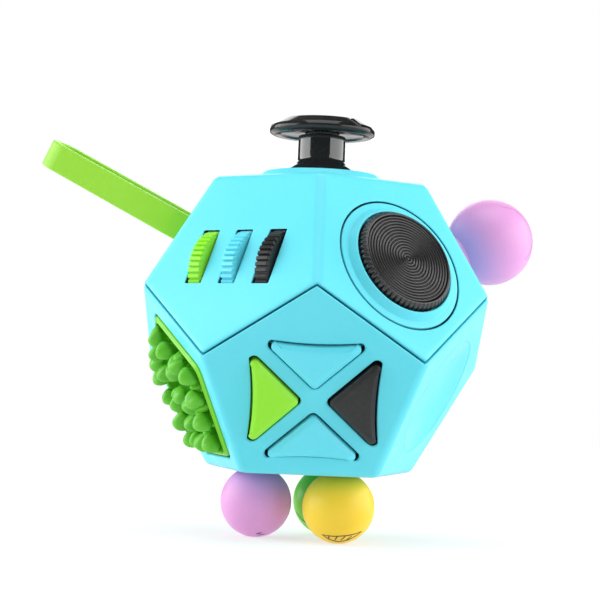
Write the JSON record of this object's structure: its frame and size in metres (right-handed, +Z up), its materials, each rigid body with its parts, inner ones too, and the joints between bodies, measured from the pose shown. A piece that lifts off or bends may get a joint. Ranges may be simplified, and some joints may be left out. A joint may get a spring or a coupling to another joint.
{
  "type": "fidget toy",
  "caption": "Twelve-sided hand-held fidget toy with joystick, ridged wheels, click dial, push buttons, soft nub pad, strap loop and soft balls.",
  "frame": {"origin": "centre of the bounding box at its bottom, on the plane through the three ball feet", "axes": "+Z up along the joystick, -Y towards the face with four triangular push buttons, +X towards the side with the large ball"},
  "size_m": [0.0796, 0.0542, 0.0645],
  "materials": {
    "body_plastic": "satin moulded",
    "panel_plastic": "satin moulded",
    "black_gloss": "high gloss",
    "black_satin": "satin",
    "blue_plastic": "satin",
    "green_plastic": "satin",
    "yellow_plastic": "satin",
    "inner_plastic": "moulded",
    "steel": "drawn wire and plate",
    "green_silicone": "soft matte",
    "strap_silicone": "soft satin",
    "lilac_silicone": "soft satin",
    "yellow_silicone": "soft satin",
    "leaf_silicone": "soft satin"
  },
  "bodies": {
    "shell": {"upper_shell": "body_plastic", "lower_shell": "body_plastic", "joystick_housing": "inner_plastic", "joystick_washer": "inner_plastic", "joystick_spring": "steel", "gear_axle": "steel", "gear_bracket": "inner_plastic", "gear_detent_spring": "steel", "dial_panel": "panel_plastic", "button_plate": "inner_plastic", "button_spring_top": "steel", "button_spring_left": "steel", "button_spring_bottom": "steel", "button_spring_right": "steel", "bristle_pad": "green_silicone", "bristle_retainer": "inner_plastic", "strap_anchor": "strap_silicone", "rocker_frame": "panel_plastic", "rocker_pin": "steel", "spinner_cup": "panel_plastic", "spinner_pin": "steel", "ball_pink": "lilac_silicone", "ball_yellow": "yellow_silicone", "ball_green": "leaf_silicone"},
    "yoke": {"joystick_yoke": "inner_plastic"},
    "stick": {"joystick_stem": "black_gloss", "joystick_cap": "black_gloss"},
    "wheel_green": {"gear_wheel_green": "green_plastic"},
    "wheel_blue": {"gear_wheel_blue": "blue_plastic"},
    "wheel_black": {"gear_wheel_black": "black_satin"},
    "dial_knob": {"dial": "black_satin", "dial_clip": "steel"},
    "push_top": {"button_top": "blue_plastic"},
    "push_left": {"button_left": "green_plastic"},
    "push_bottom": {"button_bottom": "blue_plastic"},
    "push_right": {"button_right": "black_satin"},
    "strap": {"strap_loop": "strap_silicone"},
    "side_ball": {"large_ball": "lilac_silicone"},
    "rocker": {"rocker_switch": "black_satin"},
    "slider": {"slider_knob": "green_plastic", "slider_clip": "steel"},
    "spinner": {"spinner_rotor": "yellow_plastic"}
  },
  "joints": [
    {"name": "joystick_tilt_x", "type": "hinge", "parent": "shell", "child": "yoke", "pos_m": [0.00547, 0, 0.04784], "axis": [1, 0, 0], "range_deg": [-15, 15], "stiffness_Nm_per_rad": 0.05},
    {"name": "joystick_tilt_y", "type": "hinge", "parent": "yoke", "child": "stick", "pos_m": [0.00547, 0, 0.04784], "axis": [0, 1, 0], "range_deg": [-15, 15], "stiffness_Nm_per_rad": 0.05},
    {"name": "wheel_green_spin", "type": "hinge", "parent": "shell", "child": "wheel_green", "pos_m": [-0.00898, -0.00901, 0.03973], "axis": [0.809, -0.5878, 0], "continuous": true},
    {"name": "wheel_blue_spin", "type": "hinge", "parent": "shell", "child": "wheel_blue", "pos_m": [-0.00396, -0.01265, 0.03973], "axis": [0.809, -0.5878, 0], "continuous": true},
    {"name": "wheel_black_spin", "type": "hinge", "parent": "shell", "child": "wheel_black", "pos_m": [0.00105, -0.0163, 0.03973], "axis": [0.809, -0.5878, 0], "continuous": true},
    {"name": "dial_spin", "type": "hinge", "parent": "shell", "child": "dial_knob", "pos_m": [0.01759, -0.01634, 0.04168], "axis": [0.5257, -0.7236, 0.4472], "continuous": true},
    {"name": "button_top_press", "type": "slide", "parent": "shell", "child": "push_top", "axis": [0, 0.8944, 0.4472], "range_m": [0, 0.0012], "stiffness_N_per_m": 400},
    {"name": "button_left_press", "type": "slide", "parent": "shell", "child": "push_left", "axis": [0, 0.8944, 0.4472], "range_m": [0, 0.0012], "stiffness_N_per_m": 400},
    {"name": "button_bottom_press", "type": "slide", "parent": "shell", "child": "push_bottom", "axis": [0, 0.8944, 0.4472], "range_m": [0, 0.0012], "stiffness_N_per_m": 400},
    {"name": "button_right_press", "type": "slide", "parent": "shell", "child": "push_right", "axis": [0, 0.8944, 0.4472], "range_m": [0, 0.0012], "stiffness_N_per_m": 400},
    {"name": "strap_sway", "type": "hinge", "parent": "shell", "child": "strap", "pos_m": [-0.01279, 0.00593, 0.04619], "axis": [0.4253, -0.1382, 0.8944], "range_deg": [-25, 25], "stiffness_Nm_per_rad": 0.006},
    {"name": "side_ball_press", "type": "slide", "parent": "shell", "child": "side_ball", "axis": [-0.8507, -0.2764, -0.4472], "range_m": [0, 0.002], "stiffness_N_per_m": 800},
    {"name": "rocker_flip", "type": "hinge", "parent": "shell", "child": "rocker", "pos_m": [0.00547, 0.01849, 0.04181], "axis": [-1, 0, 0], "range_deg": [0, 16]},
    {"name": "slider_slide", "type": "slide", "parent": "shell", "child": "slider", "axis": [-0.809, 0.5878, 0], "range_m": [-0.0048, 0.0048]},
    {"name": "spinner_spin", "type": "hinge", "parent": "shell", "child": "spinner", "pos_m": [-0.00623, 0.01612, 0.02261], "axis": [-0.5257, 0.7236, -0.4472], "continuous": true}
  ]
}
